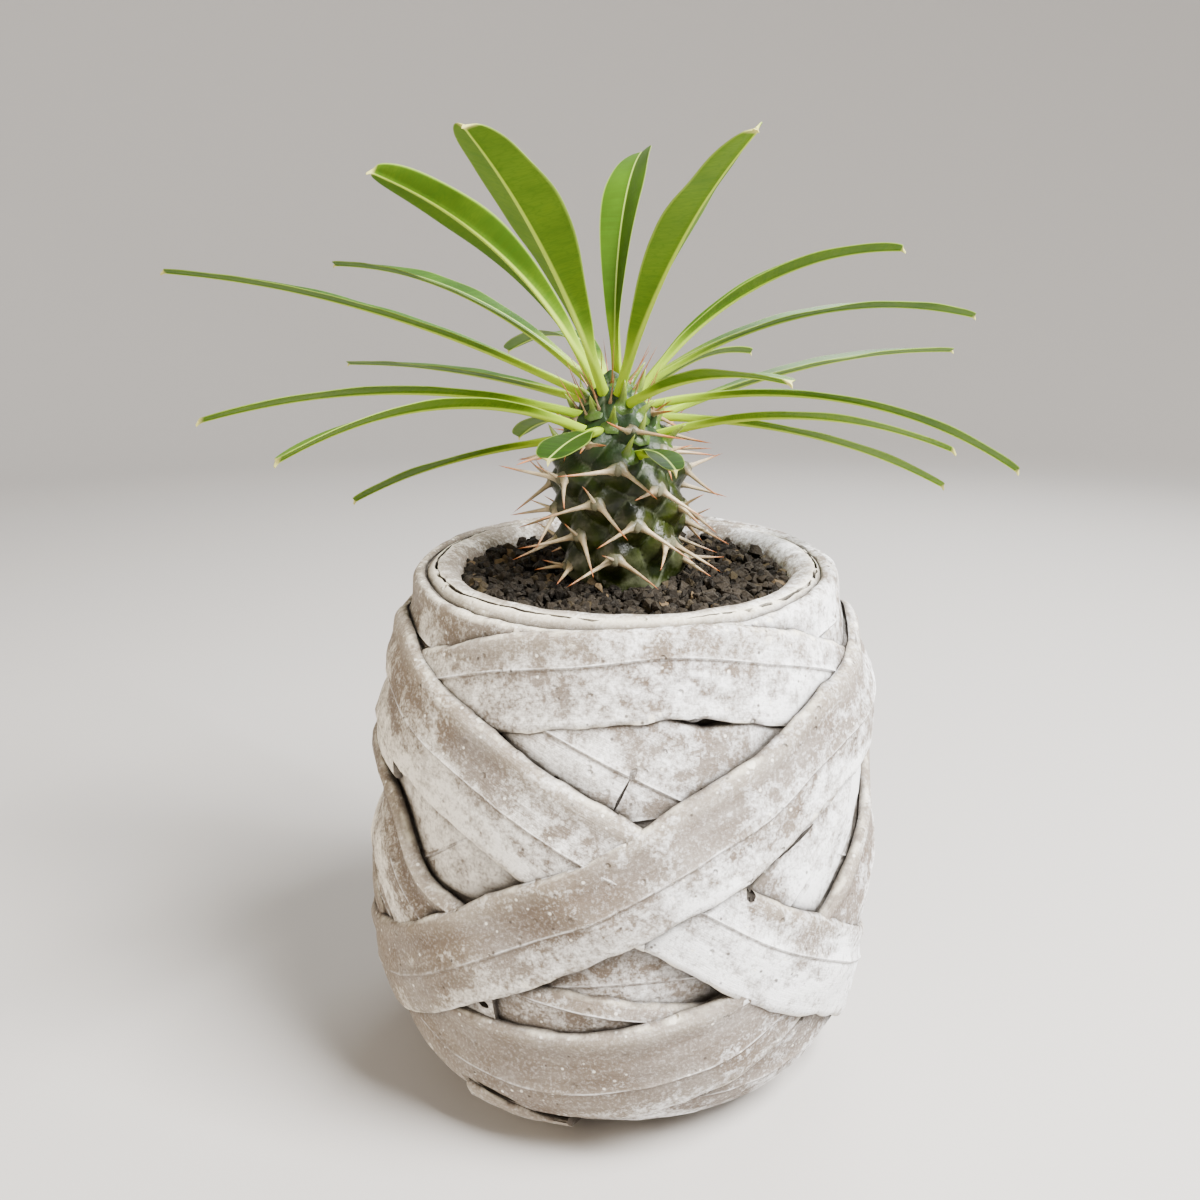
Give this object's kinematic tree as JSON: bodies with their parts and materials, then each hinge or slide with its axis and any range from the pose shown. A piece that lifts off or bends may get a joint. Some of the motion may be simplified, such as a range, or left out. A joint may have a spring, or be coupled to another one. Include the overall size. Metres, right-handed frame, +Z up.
{
  "type": "madagascar palm plant in a cement pot",
  "caption": "Young Madagascar palm with a spiny swollen stem and a crown of long arching leaves, potted in a barrel-shaped cement pot cast from wound leaf straps.",
  "frame": {"origin": "centre of the pot's flat underside, on the surface it stands on", "axes": "+Z up along the pot's axis; -Y is the front, the side seen in the reference view; +X is the viewer's right"},
  "size_m": [0.2156, 0.1683, 0.2312],
  "materials": {
    "cement": "matt grey cement with pale chalky patches and dark grime in the gaps between straps",
    "gravel": "dark loose volcanic gravel",
    "stem": "dark green glossy skin with bluish wax, pale spines with red-brown tips",
    "leaf": "waxy green blade with a pale midrib and a fine vein net"
  },
  "bodies": {
    "root": {"pot": "cement", "soil": "gravel", "trunk": "stem", "leaf_01": "leaf", "leaf_02": "leaf", "leaf_03": "leaf", "leaf_04": "leaf", "leaf_05": "leaf", "leaf_06": "leaf", "leaf_07": "leaf", "leaf_08": "leaf", "leaf_09": "leaf", "leaf_10": "leaf", "leaf_11": "leaf", "leaf_12": "leaf", "leaf_13": "leaf", "leaf_14": "leaf", "leaf_15": "leaf", "leaf_16": "leaf", "leaf_17": "leaf", "leaf_18": "leaf", "leaf_19": "leaf", "leaf_20": "leaf", "leaf_21": "leaf", "leaf_22": "leaf"}
  },
  "joints": []
}
